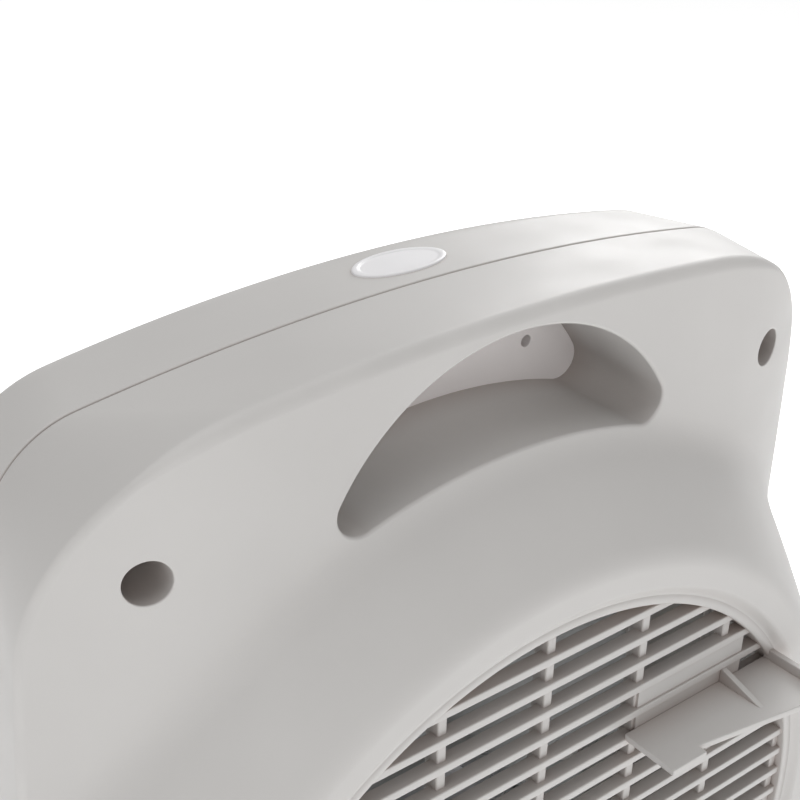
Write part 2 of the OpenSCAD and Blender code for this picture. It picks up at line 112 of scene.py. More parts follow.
# Mesh density: points round a ring, and the gap between points on open surfaces.
RING_STEPS = 288
GRID = 8.0

# Rear grille.
RING_Y = FACE_Y + BULGE_H - COVE_DROP
GRILLE_R = 130.4
SLAT_Y = RING_Y - 1.5
SLAT_REACH = 5.2
BAR_SET_BACK = 1.8
SLAT_DEPTH = 8.0
SLAT_T = 3.1
SLAT_PITCH = 10.43
HALF_SLATS = 13
BAR_PITCH = 42.8
BAR_W = 3.6
HUB_PLATE_R = 46.0
BLANK_X = (-95.0, -42.0)
BLANK_ROWS = (6.5, 8.5)

# Fan.
HUB_R = 38.5
HUB_BORE_R = 4.2
BLADES = 5
BLADE_T = 1.8
BLADE_SWEEP = 12
BLADE_HALF_ANGLE = 25

# Handle pocket.
POCKET_R = 73.4
POCKET_C = np.array([0.0, 346.0])
POCKET_END_R = 7.6
POCKET_FLOOR_R = 183.0
POCKET_RIM = 1.0
PANEL_HOLE_X = 41.0
PANEL_HOLE_Z = 390.5
PANEL_HOLE_R = 2.1
PANEL_T = 2.2

# Screws and their recesses.
SCREW_X = 120.0
SCREW_Z = (380.5, 40.0)
RECESS_R = 6.6
RECESS_DEPTH = 34.0
RECESS_RIM = 0.5
RECESS_CLEAR = 2.0
MOTOR_SCREW_X = 21.2
HOUSING_HEAD = (4.0, 2.6)
MOTOR_HEAD = (3.4, 2.0)

# Front louvre and its drive.
LOUVRE_R = 127.0
LOUVRE_GAP = 1.5
OPENING_RIM = 1.5
VANE_COUNT = 7
VANE_TILT = 38
VANE_W = 9.0
VANE_T = 2.0
LOUVRE_HUB_R = 12.0
LOUVRE_BAR_W = 3.0

# Controls.
CONTROL_Z = 39.0
KNOB_X = 70.0
PLATE_W = 212.0
PLATE_H = 36.0
BUTTON_R = 8.0
KNOB_HOLE_R = 5.0
TICK_R = (15.6, 17.2)
TICK_HALF_W = 0.35
FLUTES = 22

# Feet.
PAD_X = 115.0
PAD_Y = (-52.0, 58.0)


def angle_of(vector):
    """Direction of a vector in degrees."""
    return math.degrees(math.atan2(vector[1], vector[0]))


def meet(a, ra, b, rb):
    """The point on the right-hand side at distance ra from a and rb from b."""
    span = np.linalg.norm(b - a)
    along = (b - a) / span
    s = (ra * ra - rb * rb + span * span) / (2 * span)
    h = math.sqrt(ra * ra - s * s)
    sides = [a + s * along + k * h * np.array([-along[1], along[0]]) for k in (-1, 1)]
    return max(sides, key=lambda point: point[0])


class Loop:
    """A row of (x, z) points, each with the unit direction that points out of the material."""

    def __init__(self, points, away):
        self.points = np.asarray(points)
        self.away = np.asarray(away)

    def into(self, distance):
        """The points moved into the material, by one distance or by one for each point."""
        return self.points - self.away * np.reshape(distance, (-1, 1))


def arc(centre, radius, start, end, count):
    """Points along an arc between two angles in degrees, facing away from its centre."""
    turn = np.radians(np.linspace(start, end, count + 1))
    out = np.column_stack([np.cos(turn), np.sin(turn)])
    return Loop(np.asarray(centre) + radius * out, out)


def flipped(part):
    """The same points, facing the other way."""
    return Loop(part.points, -part.away)


def joined(parts):
    """One loop from parts that meet end to end."""
    points = [parts[0].points] + [part.points[1:] for part in parts[1:]]
    away = [parts[0].away] + [part.away[1:] for part in parts[1:]]
    return Loop(np.vstack(points), np.vstack(away))


def mirrored(parts):
    """A closed loop from parts that run down the right-hand side, from top middle to bottom middle."""
    half = joined(parts)
    return Loop(*(np.vstack([row, row[-2:0:-1] * (-1, 1)]) for row in (half.points, half.away)))


def outline(shape):
    """The body's outline, with the same number of points whatever its shape."""
    arch = np.array([0.0, shape.top - shape.arch_r])
    side = np.array([shape.half_w - SIDE_R, AXIS[1]])
    corner = meet(arch, shape.arch_r - shape.corner_r, side, SIDE_R - shape.corner_r)
    low_z = shape.base + LOW_CORNER_R
    low = np.array([side[0] + chord(low_z - AXIS[1], SIDE_R - LOW_CORNER_R), low_z])
    base = np.linspace((low[0], shape.base), (0, shape.base), 31)
    down = np.tile((0.0, -1.0), (len(base), 1))
    return mirrored([
        arc(arch, shape.arch_r, 90, angle_of(corner - arch), 34),
        arc(corner, shape.corner_r, angle_of(corner - arch), angle_of(corner - side), 40),
        arc(side, SIDE_R, angle_of(corner - side), angle_of(low - side), 76),
        arc(low, LOW_CORNER_R, angle_of(low - side), -90, 24),
        Loop(base, down),
    ])


def crescent(grow=0.0):
    """Opening of the handle pocket, grown outwards. It faces into the opening."""
    tip = meet(POCKET_C, POCKET_R - POCKET_END_R, AXIS, POCKET_FLOOR_R + POCKET_END_R)
    return mirrored([
        flipped(arc(POCKET_C, POCKET_R + grow, 90, angle_of(tip - POCKET_C), 44)),
        flipped(arc(tip, POCKET_END_R + grow, angle_of(tip - POCKET_C), angle_of(AXIS - tip), 22)),
        arc(AXIS, POCKET_FLOOR_R - grow, angle_of(tip - AXIS), 90, 32),
    ])


def circle(centre, radius, count):
    """Round outline that faces outwards."""
    return joined([arc(centre, radius, 0, 360 - 360 / count, count - 1)])


def bore(centre, radius, count):
    """Round opening that faces inwards."""
    return flipped(circle(centre, radius, count))


def rounded_box(centre, width, height, corner):
    """Rectangle with round corners."""
    x, z = width / 2 - corner, height / 2 - corner
    places = ((x, z, 0), (-x, z, 90), (-x, -z, 180), (x, -z, 270))
    corners = [arc(np.add(centre, (cx, cz)), corner, start, start + 90, 8) for cx, cz, start in places]
    return Loop(np.vstack([c.points for c in corners]), np.vstack([c.away for c in corners]))


def chord(offset, radius):
    """Half the width of a circle at a distance from its middle."""
    return math.sqrt(max(radius * radius - offset * offset, 0))


def inside(points, loop):
    """Which points lie inside a closed loop."""
    x, z = points[:, :1], points[:, 1:]
    x1, z1 = loop[:, 0], loop[:, 1]
    x2, z2 = np.roll(x1, -1), np.roll(z1, -1)
    rise = np.where(z2 == z1, 1, z2 - z1)
    crossed = ((z1 > z) != (z2 > z)) & (x < x1 + (z - z1) * (x2 - x1) / rise)
    return crossed.sum(axis=1) % 2 == 1


def soft_step(value):
    """0 below 0, 1 above 1, and smooth between."""
    t = np.clip(value, 0, 1)
    return t * t * (3 - 2 * t)


def soft_ramp(distance, blend):
    """The positive part of a distance, rounded over blend on each side of zero."""
    bent = (distance + blend) ** 2 / (4 * blend)
    return np.where(distance <= -blend, 0, np.where(distance >= blend, distance, bent))


def rear_height(xz):
    """Y of the rear surface: a face rolled off to the sides, a cone on it, and the cove round the grille."""
    r = np.linalg.norm(xz - AXIS, axis=1)
    over = np.maximum(np.abs(xz[:, 0]) - ROLL_X, 0)
    roll = ROLL_R - np.sqrt(ROLL_R**2 - over**2)
    rise = soft_ramp(BULGE_R - r, FOOT_BLEND) - soft_ramp(BULGE_TOP_R - r, SHOULDER_BLEND)
    share = rise / (BULGE_R - BULGE_TOP_R)
    cove = COVE_DROP * soft_step((COVE_OUT_R - r) / (COVE_OUT_R - COVE_IN_R))
    return FACE_Y - roll * (1 - share) + BULGE_H * share - cove


def flat_height(y):
    """Height of a flat face, in the form that rear_height has."""
    return lambda xz: np.full(len(xz), float(y))


class Skin:
    """A surface whose vertices carry their own normals, so curved plastic shades smoothly."""

    def __init__(self):
        self.points = []
        self.normals = []
        self.wear_and_highlight = []
        self.faces = []

    def add(self, xz, y, normals, wear_and_highlight=0.0):
        """Adds a row of vertices and returns their numbers."""
        first = len(self.points)
        lengths = np.linalg.norm(normals, axis=1, keepdims=True)
        self.points += [(px, py, pz) for (px, pz), py in zip(xz.tolist(), np.broadcast_to(y, len(xz)))]
        self.normals += (normals / lengths).tolist()
        self.wear_and_highlight += [wear_and_highlight] * len(xz)
        return list(range(first, len(self.points)))

    def bridge(self, a, b):
        """Faces between two closed rows of the same length."""
        for i in range(len(a)):
            j = (i + 1) % len(a)
            self.faces.append((a[i], a[j], b[j], b[i]))

    def surface(self, xz, height, facing):
        """Loose vertices on a surface."""
        return self.add(xz, height(xz), surface_normals(xz, height, facing))

    def rim(self, loop, across, down, height, facing):
        """Rounded edge where a wall meets a surface. It reaches across the surface and down the wall."""
        rows = []
        for tilt in np.radians((90, 72, 54, 36, 18, 0)):
            xz = loop.into(across * (1 - math.sin(tilt)))
            y = height(xz) - facing * down * (1 - math.cos(tilt))
            normals = surface_normals(xz, height, facing) * np.reshape(across * math.cos(tilt), (-1, 1))
            normals[:, 0::2] += loop.away * np.reshape(down * math.sin(tilt), (-1, 1))
            # The paler share peaks halfway round the rounded edge: partly edge wear, partly a painted
            # highlight where the highlight line falls.
            rows.append(self.add(xz, y, normals, math.sin(2 * tilt)))
        return rows

    def wall(self, last, steps):
        """Wall below a rim. A step is (loop, distance into the material, y, how far it faces along Y)."""
        for loop, into, y, lean in steps:
            normals = np.column_stack([loop.away[:, 0], np.full(len(loop.away), lean), loop.away[:, 1]])
            row = self.add(loop.into(into), y, normals)
            self.bridge(last, row)
            last = row

    def fill(self, rows, loose, outer, holes):
        """Triangles over closed rows and loose vertices, inside outer and outside the holes."""
        numbers = [n for row in rows for n in row] + loose
        flat = [Vector((self.points[n][0], self.points[n][2])) for n in numbers]
        edges = []
        first = 0
        for row in rows:
            edges += [(first + i, first + (i + 1) % len(row)) for i in range(len(row))]
            first += len(row)
        verts, _, faces, sources, _, _ = delaunay_2d_cdt(flat, edges, [], 0, 1e-6)
        corners = np.array([tuple(v) for v in verts])[np.array(faces)]
        middles = corners.mean(axis=1)
        keep = inside(middles, outer)
        for hole in holes:
            keep &= ~inside(middles, hole)
        for face, kept in zip(faces, keep):
            if kept:
                self.faces.append(tuple(numbers[sources[v][0]] for v in face))

    def build(self, name):
        """Makes the object, with every face turned the way its normals point."""
        points, normals = np.array(self.points), np.array(self.normals)
        faces = []
        for face in self.faces:
            a, b, c = points[list(face[:3])]
            turned = np.cross(b - a, c - a) @ normals[list(face)].sum(axis=0) < 0
            faces.append(face[::-1] if turned else face)
        mesh = bpy.data.meshes.new(name)
        mesh.from_pydata((points * MM).tolist(), [], faces)
        mesh.shade_smooth()
        mesh.normals_split_custom_set_from_vertices(self.normals)
        mesh.attributes.new("wear_and_highlight", "FLOAT", "POINT").data.foreach_set("value", self.wear_and_highlight)
        return link_object(name, mesh)


def surface_normals(xz, height, facing):
    """Normals of a surface y = height(x, z) that faces +Y or -Y."""
    small = 0.05
    across = height(xz + (small, 0)) - height(xz - (small, 0))
    up = height(xz + (0, small)) - height(xz - (0, small))
    normals = np.column_stack([-across, np.full(len(xz), 2 * small), -up]) * facing
    return normals / np.linalg.norm(normals, axis=1, keepdims=True)


def link_object(name, mesh):
    """Puts a mesh in the scene as an object."""
    piece = bpy.data.objects.new(name, mesh)
    bpy.context.scene.collection.objects.link(piece)
    return piece


def spread(low, high, gap, clear):
    """A staggered grid of points over a box, kept where clear(points) is true."""
    rows = np.arange(low[1], high[1], gap)
    points = [(x + (k % 2) * gap / 2, z) for k, z in enumerate(rows) for x in np.arange(low[0], high[0], gap)]
    points = np.array(points)
    return points[clear(points)]


def mesh_piece(name, points, faces, bevel=0.0, angle=35):
    """An object from millimetre points: faces outwards, sharp edges kept, corners rounded by bevel."""
    mesh = bpy.data.meshes.new(name)
    mesh.from_pydata([[c * MM for c in point] for point in points], [], faces)
    work = bmesh.new()
    work.from_mesh(mesh)
    bmesh.ops.remove_doubles(work, verts=work.verts, dist=1e-7)
    bmesh.ops.recalc_face_normals(work, faces=work.faces)
    work.to_mesh(mesh)
    work.free()
    mesh.shade_smooth()
    mesh.set_sharp_from_angle(angle=math.radians(angle))
    piece = link_object(name, mesh)
    if bevel:
        soften = piece.modifiers.new("soft_edges", "BEVEL")
        soften.width = bevel * MM
        soften.segments = 3
        soften.limit_method = "ANGLE"
        soften.angle_limit = math.radians(angle)
        soften.harden_normals = True
    return piece


def merged(parts):
    """One list of points and one of faces from several."""
    points, faces = [], []
    for part_points, part_faces in parts:
        first = len(points)
        points += [tuple(p) for p in part_points]
        faces += [tuple(first + n for n in face) for face in part_faces]
    return points, faces


def stacked(rows, capped=True):
    """Points and faces through closed rows of the same length."""
    count = len(rows[0])
    points = [tuple(p) for row in rows for p in row]
    faces = []
    for k in range(len(rows) - 1):
        for i in range(count):
            j = (i + 1) % count
            faces.append((k * count + i, k * count + j, (k + 1) * count + j, (k + 1) * count + i))
    if capped:
        faces.append(tuple(range(count)))
        faces.append(tuple((len(rows) - 1) * count + i for i in range(count)))
    return points, faces


def along_x(section, x0, x1):
    """A bar along X with a section of (y, z) points."""
    return stacked([[(x, y, z) for y, z in section] for x in (x0, x1)])


def along_y(section, y0, y1):
    """A bar along Y with a section of (x, z) points."""
    return stacked([[(x, y, z) for x, z in section] for y in (y0, y1)])


def along_z(section, z0, z1):
    """A bar along Z with a section of (x, y) points."""
    return stacked([[(x, y, z) for x, y in section] for z in (z0, z1)])


def soft_rectangle(x0, x1, y0, y1, radius):
    """Rectangle section with rounded corners."""
    middle = ((x0 + x1) / 2, (y0 + y1) / 2)
    return rounded_box(middle, x1 - x0, y1 - y0, radius).points.tolist()


def turned(profile, centre, count=96, closed=False):
    """Points and faces of a profile of (radius, y) turned about an axis along Y."""
    angles = np.linspace(0, 2 * math.pi, count, endpoint=False)
    rows = [
        [(centre[0] + r * math.cos(a), y, centre[1] + r * math.sin(a)) for a in angles]
        for r, y in (list(profile) + [profile[0]] if closed else profile)
    ]
    return stacked(rows, capped=False)


def ridden(piece, body, slot, nodes, finish=None):
    """Gives a piece its finish, its body and the CAD nodes it stands for."""
    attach(piece, body)
    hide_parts(*nodes)
    paint(piece, slot, finish)


def paint(piece, slot, finish=None):
    """Gives a piece the finish of a slot, or a variant of it."""
    piece.data.materials.clear()
    piece.data.materials.append(MATERIALS[finish or slot])


# ---------------------------------------------------------------- materials

# Painted shade in corners and recesses: colour of shaded plastic as a share of the plain colour, and how far
# from a corner the shade reaches, in metres.
SHADE_TINT = (0.62, 0.52, 0.48)
SHADE_REACH = 0.013


class Finish:
    """A procedural material being built on a Principled shader."""

    def __init__(self, name, metallic=0.0):
        self.material = bpy.data.materials.new(name + "_finish")
        self.material.use_nodes = True
        self.tree = self.material.node_tree
        self.shader = self.tree.nodes["Principled BSDF"]
        self.shader.inputs["Metallic"].default_value = metallic
        self.where = self.node("ShaderNodeTexCoord").outputs["Object"]

    def node(self, kind, **settings):
        """A new node of a kind, with its settings."""
        made = self.tree.nodes.new(kind)
        for key, value in settings.items():
            setattr(made, key, value)
        return made

    def link(self, source, target):
        """Joins two sockets."""
        self.tree.links.new(source, target)

    def noise(self, scale, detail=3.0, stretch=(1, 1, 1)):
        """Noise in the object's own space, stretched along an axis."""
        mapping = self.node("ShaderNodeMapping")
        mapping.inputs["Scale"].default_value = stretch
        self.link(self.where, mapping.inputs["Vector"])
        texture = self.node("ShaderNodeTexNoise")
        texture.inputs["Scale"].default_value = scale
        texture.inputs["Detail"].default_value = detail
        self.link(mapping.outputs["Vector"], texture.inputs["Vector"])
        return texture.outputs["Fac"]

    def ramp(self, factor, low, high, start=0.3, end=0.7):
        """Colour between low and high as a factor goes from start to end."""
        ramp = self.node("ShaderNodeValToRGB")
        ramp.color_ramp.elements[0].position = start
        ramp.color_ramp.elements[0].color = (*low, 1)
        ramp.color_ramp.elements[1].position = end
        ramp.color_ramp.elements[1].color = (*high, 1)
        self.link(factor, ramp.inputs["Fac"])
        return ramp.outputs["Color"]

    def mix(self, factor, a, b):
        """Mixes colour socket a towards colour b, which is a socket or three numbers."""
        mix = self.node("ShaderNodeMix", data_type="RGBA")
        self.link(factor, mix.inputs["Factor"])
        self.link(a, mix.inputs["A"])
        if isinstance(b, tuple):
            mix.inputs["B"].default_value = (*b, 1)
        else:
            self.link(b, mix.inputs["B"])
        return mix.outputs["Result"]

    def hollow(self, amount):
        """How far a point lies in a corner or recess, times an amount; the mask for painted shade."""
        open_sky = self.node("ShaderNodeAmbientOcclusion", samples=8)
        open_sky.inputs["Distance"].default_value = SHADE_REACH
        closed = self.maths("SUBTRACT", 1.0, open_sky.outputs["AO"])
        return self.maths("MULTIPLY", closed, amount)

    def maths(self, operation, a, b):
        """Two numbers or sockets joined by an operation."""
        made = self.node("ShaderNodeMath", operation=operation)
        for socket, value in zip(made.inputs, (a, b)):
            if isinstance(value, (int, float)):
                socket.default_value = value
            else:
                self.link(value, socket)
        return made.outputs["Value"]

    def between(self, factor, low, high):
        """A number between low and high that follows a noise factor."""
        scaled = self.node("ShaderNodeMapRange")
        for socket, value in (("From Min", 0.3), ("From Max", 0.7), ("To Min", low), ("To Max", high)):
            scaled.inputs[socket].default_value = value
        self.link(factor, scaled.inputs["Value"])
        return scaled.outputs["Result"]

    def bump(self, height, strength, distance, below=None):
        """Bump from a height, on top of another bump."""
        bump = self.node("ShaderNodeBump")
        bump.inputs["Strength"].default_value = strength
        bump.inputs["Distance"].default_value = distance
        self.link(height, bump.inputs["Height"])
        if below:
            self.link(below, bump.inputs["Normal"])
        return bump.outputs["Normal"]

    def done(self, colour, roughness, normal):
        """Joins the three results to the shader and returns the material."""
        self.link(colour, self.shader.inputs["Base Color"])
        self.link(roughness, self.shader.inputs["Roughness"])
        self.link(normal, self.shader.inputs["Normal"])
        return self.material


def tint(colour, factor):
    """A colour made paler or darker."""
    return tuple(min(1.0, c * factor) for c in colour)


def moulded(name, colour, roughness, grain=0.12, wear_and_highlight_tint=1.12, recess_shade=0.0):
    """Moulded plastic: faint blotches, fine grain, slight waves, edges made paler by wear and a painted
    highlight, painted shade in recesses.
    """
    finish = Finish(name)
    cloud = finish.noise(11, 4)
    patch = finish.noise(38, 5)
    base = finish.ramp(cloud, tint(colour, 0.965), tint(colour, 1.02))
    base = finish.mix(finish.maths("MULTIPLY", patch, 0.10), base, tint(colour, 0.88))
    # Paler edges: partly rubbed wear, partly a painted highlight along rounded edges.
    edge = finish.node("ShaderNodeAttribute", attribute_name="wear_and_highlight").outputs["Fac"]
    rubbed_and_highlit = finish.maths("MULTIPLY", edge, finish.between(patch, 0.1, 0.7))
    base = finish.mix(rubbed_and_highlit, base, tint(colour, wear_and_highlight_tint))
    # Painted shade: a darker, browner colour in corners and recesses, where shade falls.
    if recess_shade:
        base = finish.mix(finish.hollow(recess_shade), base, tuple(c * d for c, d in zip(colour, SHADE_TINT)))
    grit = finish.bump(finish.noise(2600, 2), grain, 0.0002)
    wave = finish.bump(finish.noise(24, 2), 0.10, 0.0006, grit)
    return finish.done(base, finish.between(patch, roughness - 0.05, roughness + 0.06), wave)


def metal(name, colour, roughness, stretch):
    """Metal with fine drawn lines and dull patches."""
    finish = Finish(name, metallic=1.0)
    lines = finish.noise(500, 3, stretch)
    stain = finish.noise(60, 4)
    base = finish.ramp(stain, tint(colour, 0.82), tint(colour, 1.08))
    scratch = finish.bump(lines, 0.2, 0.0001)
    return finish.done(base, finish.between(lines, roughness - 0.08, roughness + 0.12), scratch)


def banded(name, colour, dark, scale, metallic, roughness):
    """Stacked sheets or wound wire: fine bands along Y."""
    finish = Finish(name, metallic=metallic)
    wave = finish.node("ShaderNodeTexWave", bands_direction="Y")
    wave.inputs["Scale"].default_value = scale
    wave.inputs["Distortion"].default_value = 0.6
    wave.inputs["Detail"].default_value = 2
    finish.link(finish.where, wave.inputs["Vector"])
    band = wave.outputs["Fac"]
    base = finish.mix(finish.noise(70, 4), finish.ramp(band, dark, colour, 0.1, 0.6), tint(colour, 0.8))
    return finish.done(base, finish.between(band, roughness, roughness + 0.2), finish.bump(band, 0.6, 0.0003))


def make_materials():
    """Every finish by its slot in the record, and the variants of the shell."""
    return {
        "shell": moulded("shell", (0.60, 0.585, 0.57), 0.46, recess_shade=0.95),
        "badge": moulded("badge", (0.88, 0.87, 0.88), 0.36),
        # Painted light: the shell's plastic made much paler for the pocket panel, a lit copy that stands in
        # for light reaching into the pocket.
        "lit_panel": moulded("lit_panel", (0.92, 0.88, 0.87), 0.46),
        "facia": moulded("facia", (0.36, 0.36, 0.36), 0.42),
        "blades": moulded("blades", (0.47, 0.48, 0.48), 0.34, grain=0.05),
        "switchgear": moulded("switchgear", (0.035, 0.035, 0.038), 0.45),
        "terminals": moulded("terminals", (0.62, 0.57, 0.43), 0.5),
        "pads": moulded("pads", (0.022, 0.022, 0.022), 0.75, grain=0.4),
        "steel": metal("steel", (0.62, 0.62, 0.64), 0.34, (1, 0.1, 1)),
        "laminations": banded("laminations", (0.32, 0.32, 0.33), (0.07, 0.07, 0.07), 320, 0.8, 0.42),
        "copper": banded("copper", (0.68, 0.33, 0.15), (0.18, 0.07, 0.03), 260, 0.9, 0.3),
        "bronze": metal("bronze", (0.60, 0.42, 0.20), 0.45, (1, 1, 1)),
    }


MATERIALS = make_materials()

NODE_SLOTS = {
    "motor_stator": "laminations",
    "motor_windings": "copper",
    "motor_front_bracket": "steel",
    "motor_rear_bracket": "steel",
    "motor_front_bush": "bronze",
    "motor_rear_bush": "bronze",
    "motor_rotor": "laminations",
    "motor_shaft": "steel",
    "spinner_nut": "blades",
    "louvre_spider": "facia",
    "louvre_axle": "steel",
    "spider_screws": "steel",
    "roller_motor": "steel",
    "roller_screws": "steel",
    "roller_shaft": "steel",
    "louvre_roller": "pads",
    "speed_switch": "switchgear",
    "speed_shaft": "steel",
    "timer_switch": "switchgear",
    "timer_shaft": "steel",
    "swing_switch": "switchgear",
    "run_capacitor": "switchgear",
    "terminal_block": "terminals",
}


def finish_cad_nodes():
    """Procedural finishes for the CAD nodes that are shown as they are."""
    for node, slot in NODE_SLOTS.items():
        paint(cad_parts[node], slot)


# ---------------------------------------------------------------- housings


def screw_centres():
    """Middles of the four screw recesses."""
    return [(sx * SCREW_X, z) for sx in (-1, 1) for z in SCREW_Z]


def edge_radius(loop):
    """Radius of the rear edge: generous where it faces up, small at the corners and sides."""
    facing_up = soft_step((loop.away[:, 1] - 0.82) / 0.16)
    return SIDE_EDGE_R + (TOP_EDGE_R - SIDE_EDGE_R) * facing_up


def lip(seam, steps):
    """Wall steps that bring a side wall to its seam."""
    return [(seam, into, SEAM_Y + y, lean) for into, y, lean in steps]


def bulge_rings():
    """Rings of points where the rear face bends: at the cove, the bulge's shoulder, its side and its foot."""
    radii = [
        np.linspace(COVE_IN_R, COVE_OUT_R, 8)[1:],
        np.linspace(BULGE_TOP_R - SHOULDER_BLEND, BULGE_TOP_R + SHOULDER_BLEND, 9),
        np.linspace(BULGE_TOP_R + SHOULDER_BLEND + 4, BULGE_R - FOOT_BLEND - 4, 4),
        np.linspace(BULGE_R - FOOT_BLEND, BULGE_R + FOOT_BLEND, 11),
    ]
    return np.vstack([circle(AXIS, r, RING_STEPS).points for r in np.concatenate(radii)])


def make_rear_shell():
    """Rear housing: rolled face, bulge, handle pocket, screw recesses and side walls down to the seam."""
    skin = Skin()
    edge, seam, pocket = outline(REAR), outline(SEAM), crescent()
    mouth = bore(AXIS, COVE_IN_R, RING_STEPS)
    recesses = [bore(c, RECESS_R, 40) for c in screw_centres()]
    edge_r = edge_radius(edge)

    edge_rows = skin.rim(edge, edge_r, edge_r, rear_height, 1)
    skin.wall(edge_rows[0], lip(seam, REAR_LIP))
    pocket_rows = skin.rim(pocket, POCKET_RIM, POCKET_RIM, rear_height, 1)
    skin.wall(pocket_rows[0], [(pocket, 0, SEAM_Y, 0)])
    rows = edge_rows + pocket_rows

    floor_y = FACE_Y - RECESS_DEPTH
    for recess in recesses:
        recess_rows = skin.rim(recess, RECESS_RIM, RECESS_RIM, rear_height, 1)
        skin.wall(recess_rows[0], [(recess, 0, floor_y, 0), (recess, 0.2 - RECESS_R, floor_y, 9)])
        rows += recess_rows

    mouth_row = skin.surface(mouth.points, rear_height, 1)
    skin.wall(mouth_row, [(mouth, 0, RING_Y - 3, 0)])
    rows.append(mouth_row)

    rings = bulge_rings()
    margin = GRID / 5

    def clear(points):
        free = inside(points, edge.into(edge_r + margin)) & ~inside(points, pocket.into(POCKET_RIM + margin))
        for recess in recesses:
            free &= ~inside(points, recess.into(RECESS_CLEAR))
        return free

    def outside_bulge(points):
        r = np.linalg.norm(points - AXIS, axis=1)
        return clear(points) & (r > BULGE_R + FOOT_BLEND + 3)

    grid = spread((-HALF_W, BASE_Z), (HALF_W, TOP_Z), GRID, outside_bulge)
    loose = skin.surface(np.vstack([rings[clear(rings)], grid]), rear_height, 1)
    skin.fill(rows, loose, edge.points, [hole.points for hole in [pocket, mouth] + recesses])
    ridden(skin.build("rear_shell"), "housing", "shell", ["rear_housing"])


def make_front_shell():
    """Front housing: side wall from the seam, a soft front edge, and the louvre opening in its front face."""
    skin = Skin()
    face = flat_height(FRONT_Y)
    edge, seam = outline(FRONT), outline(SEAM)
    opening = bore(AXIS, LOUVRE_R + LOUVRE_GAP, 192)
    edge_rows = skin.rim(edge, FRONT_EDGE_IN, FRONT_EDGE_DEPTH, face, -1)
    skin.wall(edge_rows[0], lip(seam, FRONT_LIP))
    opening_rows = skin.rim(opening, OPENING_RIM, OPENING_RIM, face, -1)
    spider_low, _ = node_box("louvre_spider")
    skin.wall(opening_rows[0], [(opening, 0, spider_low.y, 0)])
    skin.fill(edge_rows + opening_rows, [], edge.points, [opening.points])
    ridden(skin.build("front_shell"), "housing", "shell", ["front_housing"])


def make_pocket_panel():
    """Panel that closes the handle pocket at the seam, with its two screw holes."""
    skin = Skin()
    face = flat_height(SEAM_Y)
    border = flipped(crescent(1.5))
    holes = [bore((sx * PANEL_HOLE_X, PANEL_HOLE_Z), PANEL_HOLE_R, 28) for sx in (-1, 1)]
    border_row = skin.surface(border.points, face, 1)
    skin.wall(border_row, [(border, 0, SEAM_Y - PANEL_T, 0)])
    rows = [border_row]
    hole_floor = SEAM_Y - 14
    for hole in holes:
        hole_rows = skin.rim(hole, 0.3, 0.3, face, 1)
        skin.wall(hole_rows[0], [(hole, 0, hole_floor, 0), (hole, 0.1 - PANEL_HOLE_R, hole_floor, 9)])
        rows += hole_rows
    skin.fill(rows, [], border.points, [hole.points for hole in holes])
    # The panel's paler finish paints light onto it inside the shaded pocket.
    ridden(skin.build("pocket_panel"), "housing", "shell", ["front_housing"], "lit_panel")


def make_badge():
    """Plain oval badge on top of the front housing: a low rim round a slightly sunken field."""
    low, high = node_box("oval_badge")
    half = ((high.x - low.x) / 2, (high.y - low.y) / 2)
    middle_y = (low.y + high.y) / 2
    section = (
        (1.0, -0.6), (1.0, 0.3), (0.985, 0.55), (0.95, 0.65), (0.89, 0.65),
        (0.86, 0.5), (0.84, 0.3), (0.80, 0.27), (0.4, 0.3), (0.02, 0.3),
    )
    turn = np.linspace(0, 2 * math.pi, 96, endpoint=False)
    rows = []
    for scale, up in section:
        x = half[0] * scale * np.cos(turn)
        y = middle_y + half[1] * scale * np.sin(turn)
        z = SEAM.top - x * x / (2 * SEAM.arch_r) + up
        rows.append(np.column_stack([x, y, z]).tolist())
    piece = mesh_piece("badge", *stacked(rows), angle=60)
    ridden(piece, "housing", "shell", ["oval_badge"], "badge")


# ---------------------------------------------------------------- rear grille


def make_grille_ring():
    """Flat land round the grille and the wall that drops from it to the slats."""
    profile = [
        (COVE_IN_R - 0.02, RING_Y - 3), (COVE_IN_R - 0.02, RING_Y - 0.01), (COVE_IN_R - 0.03, RING_Y),
        (GRILLE_R + 0.7, RING_Y), (GRILLE_R + 0.2, RING_Y - 0.2), (GRILLE_R, RING_Y - 0.7),
        (GRILLE_R, RING_Y - 10.5), (COVE_IN_R - 1.5, RING_Y - 10.5), (COVE_IN_R - 1.5, RING_Y - 3),
    ]
    piece = mesh_piece("grille_ring", *turned(profile, AXIS, RING_STEPS, closed=True), angle=50)
    ridden(piece, "housing", "shell", ["rear_grille"])


def make_grille_slats():
    """Level slats with rounded rear edges, crossed by upright bars."""
    parts = []
    reach = GRILLE_R + 0.6
    bar_y = (SLAT_Y - SLAT_DEPTH, SLAT_Y - BAR_SET_BACK)
    for i in range(-HALF_SLATS, HALF_SLATS):
        offset = (i + 0.5) * SLAT_PITCH
        half = chord(abs(offset) - SLAT_T / 2, reach)
        if abs(offset) > reach or half < 4:
            continue
        z = AXIS[1] + offset
        section = soft_rectangle(SLAT_Y - SLAT_REACH, SLAT_Y, z - SLAT_T / 2, z + SLAT_T / 2, 0.5)
        parts.append(along_x(section, -half, half))
    for k in range(-3, 4):
        x = k * BAR_PITCH
        half = chord(x, reach)
        section = soft_rectangle(x - BAR_W / 2, x + BAR_W / 2, *bar_y, 0.7)
        parts.append(along_z(section, AXIS[1] - half, AXIS[1] + half))
    piece = mesh_piece("grille_slats", *merged(parts), angle=50)
    ridden(piece, "housing", "shell", ["rear_grille"])


